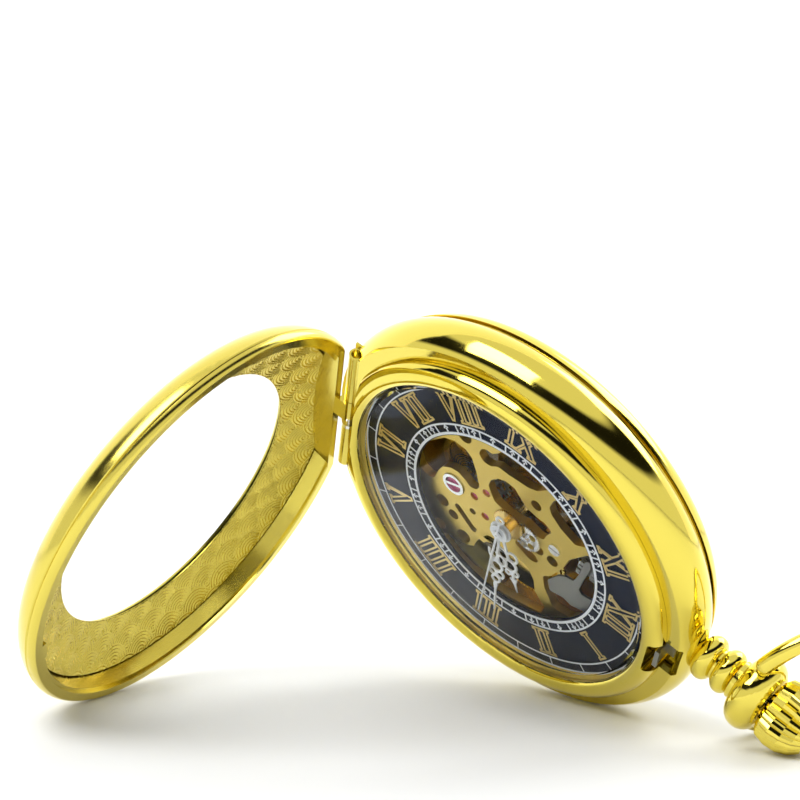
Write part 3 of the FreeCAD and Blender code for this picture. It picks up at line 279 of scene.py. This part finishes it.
# ---- engine turning on the lid's inner ring -----------------------------------------------
def build_engine_turning():
    """Rows of overlapping fans of fine arcs, cut into the ring round the window."""
    around, across = 1800, 96
    inner, outer, chord = 15.40, 20.80, 19.22
    low, high = 4.0, 2.13
    angle = np.linspace(0, 2 * math.pi, around, endpoint=False)
    share = np.linspace(0, 1, across)
    edge = np.where(np.cos(angle) < -chord / outer,
                    chord / np.maximum(-np.cos(angle), 1e-3), outer)
    radius = inner + np.outer(edge - inner, share)
    turned_angle = np.repeat(angle[:, None], across, axis=1)
    rows, fans, reach, pitch, cut = 4, 30, 2.3, 0.36, 0.05
    overlap, ring_outer, belly, lift = 1.3, 21.13 - 0.28, 0.12, 0.02
    step = 2 * math.pi / fans
    depth = np.zeros_like(radius)
    for row in range(rows + 2):
        hub = inner - overlap + row * (outer - inner + overlap) / rows
        offset = (row % 2) * step / 2
        nearest = np.round((turned_angle - offset) / step) * step + offset
        along = (turned_angle - nearest) * hub
        distance = np.hypot(along, radius - hub)
        wave = 0.5 + 0.5 * np.cos(2 * math.pi * distance / pitch)
        depth = np.where((distance < reach) & (radius < hub + reach), wave, depth)
    rise = (radius - inner) / (ring_outer - inner)
    bow = belly * np.sin(np.clip(rise, 0, 1) * math.pi)
    height = low + (high - low) * rise + bow - lift - cut * depth
    points = np.stack([radius * np.cos(turned_angle), radius * np.sin(turned_angle), height], 2)
    faces = []
    for i in range(around):
        a, b = i * across, ((i + 1) % around) * across
        faces += [(a + j, a + j + 1, b + j + 1, b + j) for j in range(across - 1)]
    place = np.array(OPENED)
    spots = points.reshape(-1, 3) * MM @ place[:3, :3].T + place[:3, 3]
    mesh = bpy.data.meshes.new("engine_turning")
    mesh.from_pydata(spots.tolist(), [], faces)
    mesh.materials.append(turned_gold)
    mesh.polygons.foreach_set("use_smooth", [True] * len(mesh.polygons))
    piece = bpy.data.objects.new("engine_turning", mesh)
    bpy.context.scene.collection.objects.link(piece)
    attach(piece, "lid")


# ---- lid window: an even mesh in the place of the CAD window ------------------------------
def build_lid_window():
    """The domed window: an inner and an outer dome joined at the rim."""
    around, across = 160, 30
    domes = ((4.55, 4.10, 17.0), (5.15, 4.62, 16.2))
    rim = [(17.3, 4.1), (17.3, 4.5)]
    inner, outer = ([(edge * i / across, top - (top - low) * (i / across) ** 2)
                     for i in range(1, across + 1)] for top, low, edge in domes)
    profile = inner + rim + outer[::-1]
    points, faces = [], []
    for radius, height in profile:
        for step in range(around):
            angle = 2 * math.pi * step / around
            points.append((radius * math.cos(angle), radius * math.sin(angle), height))
    for ring in range(len(profile) - 1):
        for step in range(around):
            a, b = ring * around + step, ring * around + (step + 1) % around
            faces.append((a, b, b + around, a + around))
    for start, centre, flip in ((0, domes[0][0], True),
                                ((len(profile) - 1) * around, domes[1][0], False)):
        points.append((0, 0, centre))
        for step in range(around):
            a, b = start + step, start + (step + 1) % around
            faces.append((b, a, len(points) - 1) if flip else (a, b, len(points) - 1))
    window = mesh_piece("lid_window_clear", points, faces, crystal, OPENED, "lid", True)
    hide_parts("lid_window")


build_lid_window()
build_numerals()
build_tracks()
build_engine_turning()


# ---- stage --------------------------------------------------------------------------------
def stage_plane(name, location, rotation, width, height, finish):
    """A flat rectangle of the studio, which is no part of the watch."""
    bpy.ops.mesh.primitive_plane_add(size=1, location=location, rotation=rotation)
    plane = bpy.context.object
    plane.name = name
    plane.scale = (width, height, 1)
    plane.data.materials.append(finish)


def build_stage():
    """A wide paper floor and a bright backdrop that hides its far edge."""
    paper = surface(material("paper", (0.80, 0.81, 0.81), 0.0), 40, 0.5, 0.6, 0.02)
    stage_plane("floor", (0, 0, 0), (0, 0, 0), 60, 60, paper)
    white = material("white_backdrop", (0.9, 0.9, 0.9), 0.0, 0.9,
                     Emission_Color=(0.97, 0.98, 1.0, 1.0), Emission_Strength=0.75)
    stage_plane("backdrop", (0, 0.9, 1.4), (math.radians(90), 0, 0), 6, 2.8, white)


def area(name, location, aim, width, height, power):
    """A rectangular lamp that faces a point."""
    light = bpy.data.lights.new(name, "AREA")
    light.shape = "RECTANGLE"
    light.size, light.size_y = width, height
    light.energy = power
    lamp = bpy.data.objects.new(name, light)
    lamp.location = location
    lamp.rotation_euler = (Vector(aim) - Vector(location)).to_track_quat("-Z", "Y").to_euler()
    bpy.context.scene.collection.objects.link(lamp)


def build_light():
    """A pale room with a dark band overhead for the gold to mirror, and two soft lamps."""
    world = bpy.data.worlds.new("studio")
    bpy.context.scene.world = world
    world.use_nodes = True
    tree = world.node_tree
    back = tree.nodes["Background"]
    place = tree.nodes.new("ShaderNodeTexCoord")
    split = tree.nodes.new("ShaderNodeSeparateXYZ")
    ramp = tree.nodes.new("ShaderNodeValToRGB")
    spread = tree.nodes.new("ShaderNodeMapRange")
    spread.inputs["From Min"].default_value = -1.0
    tree.links.new(place.outputs["Generated"], split.inputs["Vector"])
    tree.links.new(split.outputs["Z"], spread.inputs["Value"])
    tree.links.new(spread.outputs["Result"], ramp.inputs["Fac"])
    tree.links.new(ramp.outputs["Color"], back.inputs["Color"])
    stops = [(0.0, 0.7), (0.5, 0.93), (0.66, 0.93), (0.71, 0.01), (0.85, 0.01), (0.89, 0.9)]
    while len(ramp.color_ramp.elements) < len(stops):
        ramp.color_ramp.elements.new(0.5)
    for element, (spot, level) in zip(ramp.color_ramp.elements, stops):
        element.position = spot
        element.color = (level, level, level * 1.01, 1)
    back.inputs["Strength"].default_value = 1.0
    watch = (0, 0, 0.02)
    area("key", (-0.35, -0.25, 0.65), watch, 0.5, 0.5, 5)
    area("rim", (0.45, 0.35, 0.45), watch, 0.4, 0.4, 2)


build_stage()
build_light()

# ---- picture tone -------------------------------------------------------------------------
bpy.context.scene.view_settings.view_transform = "Standard"

# ---- camera -------------------------------------------------------------------------------
lens = bpy.data.cameras.new("camera")
lens.lens = 114.9
lens.sensor_width = 36
lens.clip_start = 0.01
camera = bpy.data.objects.new("camera", lens)
camera.location = (-0.008235, -0.254007, 0.061563)
camera.rotation_euler = Euler([math.radians(a) for a in (83.376, -1.719, 0.0)])
bpy.context.scene.collection.objects.link(camera)
bpy.context.scene.camera = camera
